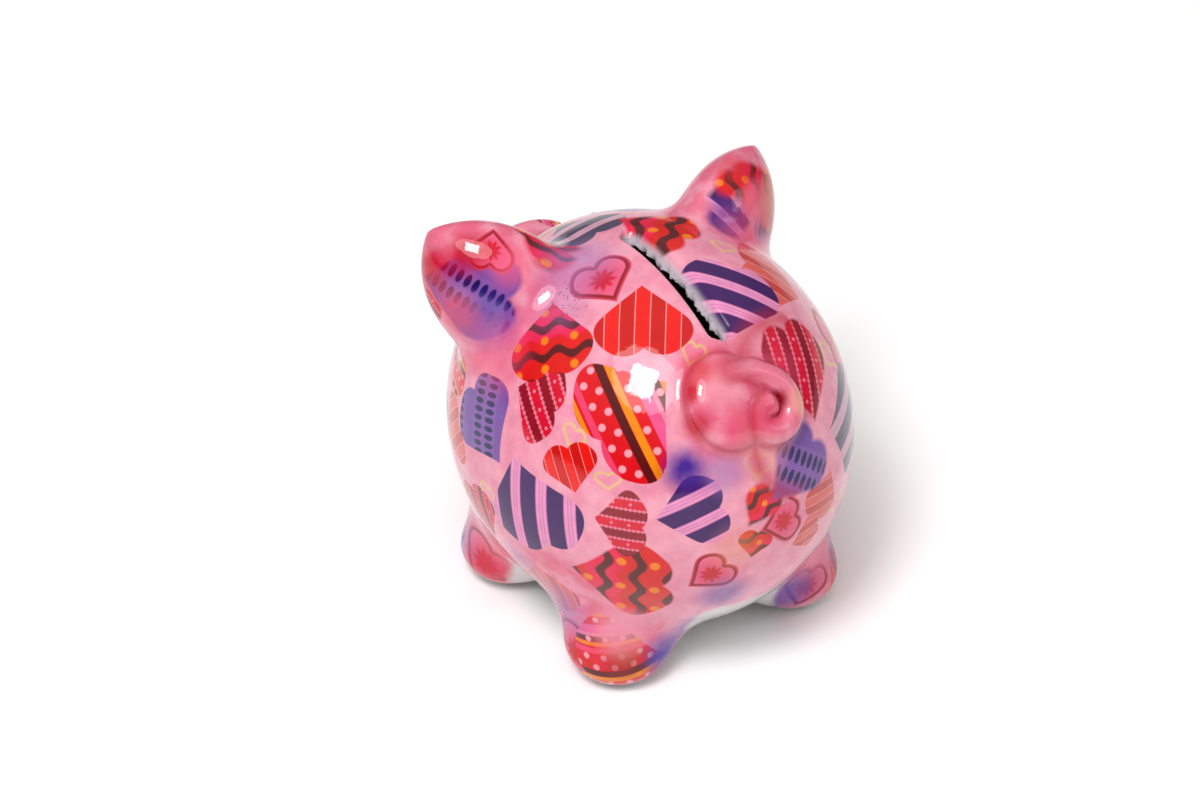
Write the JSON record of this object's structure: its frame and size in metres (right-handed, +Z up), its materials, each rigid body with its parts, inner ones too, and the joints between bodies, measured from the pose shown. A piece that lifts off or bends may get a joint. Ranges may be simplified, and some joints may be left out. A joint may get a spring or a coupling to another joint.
{
  "type": "piggy bank",
  "caption": "Round glazed ceramic piggy bank with a coin slot in its back, stub feet, blunt ears, a curled tail and a pull-out belly stopper.",
  "frame": {"origin": "on the floor, in the plane of symmetry and in the middle of the bank's length", "axes": "+Z up; the pig looks along -Y; its left side is +X"},
  "size_m": [0.0972, 0.1144, 0.1086],
  "materials": {
    "body_glaze": "clear gloss glaze over a pink ground with printed hearts",
    "ear_glaze": "clear gloss glaze over printed hearts and purple shading",
    "snout_glaze": "clear gloss glaze over pink",
    "tail_glaze": "clear gloss glaze over pink",
    "eye_glaze": "black gloss glaze",
    "foot_glaze": "clear gloss glaze over printed hearts, bare clay on the sole",
    "plug_rubber": "soft matt, translucent white"
  },
  "bodies": {
    "bank": {"body_shell": "body_glaze", "left_ear": "ear_glaze", "right_ear": "ear_glaze", "snout": "snout_glaze", "curly_tail": "tail_glaze", "left_eye": "eye_glaze", "right_eye": "eye_glaze", "front_left_foot": "foot_glaze", "front_right_foot": "foot_glaze", "rear_left_foot": "foot_glaze", "rear_right_foot": "foot_glaze"},
    "stopper": {"stopper_plug": "plug_rubber"}
  },
  "joints": [
    {"name": "stopper_pull", "type": "slide", "parent": "bank", "child": "stopper", "axis": [0, 0, -1], "range_m": [0, 0.03]}
  ]
}
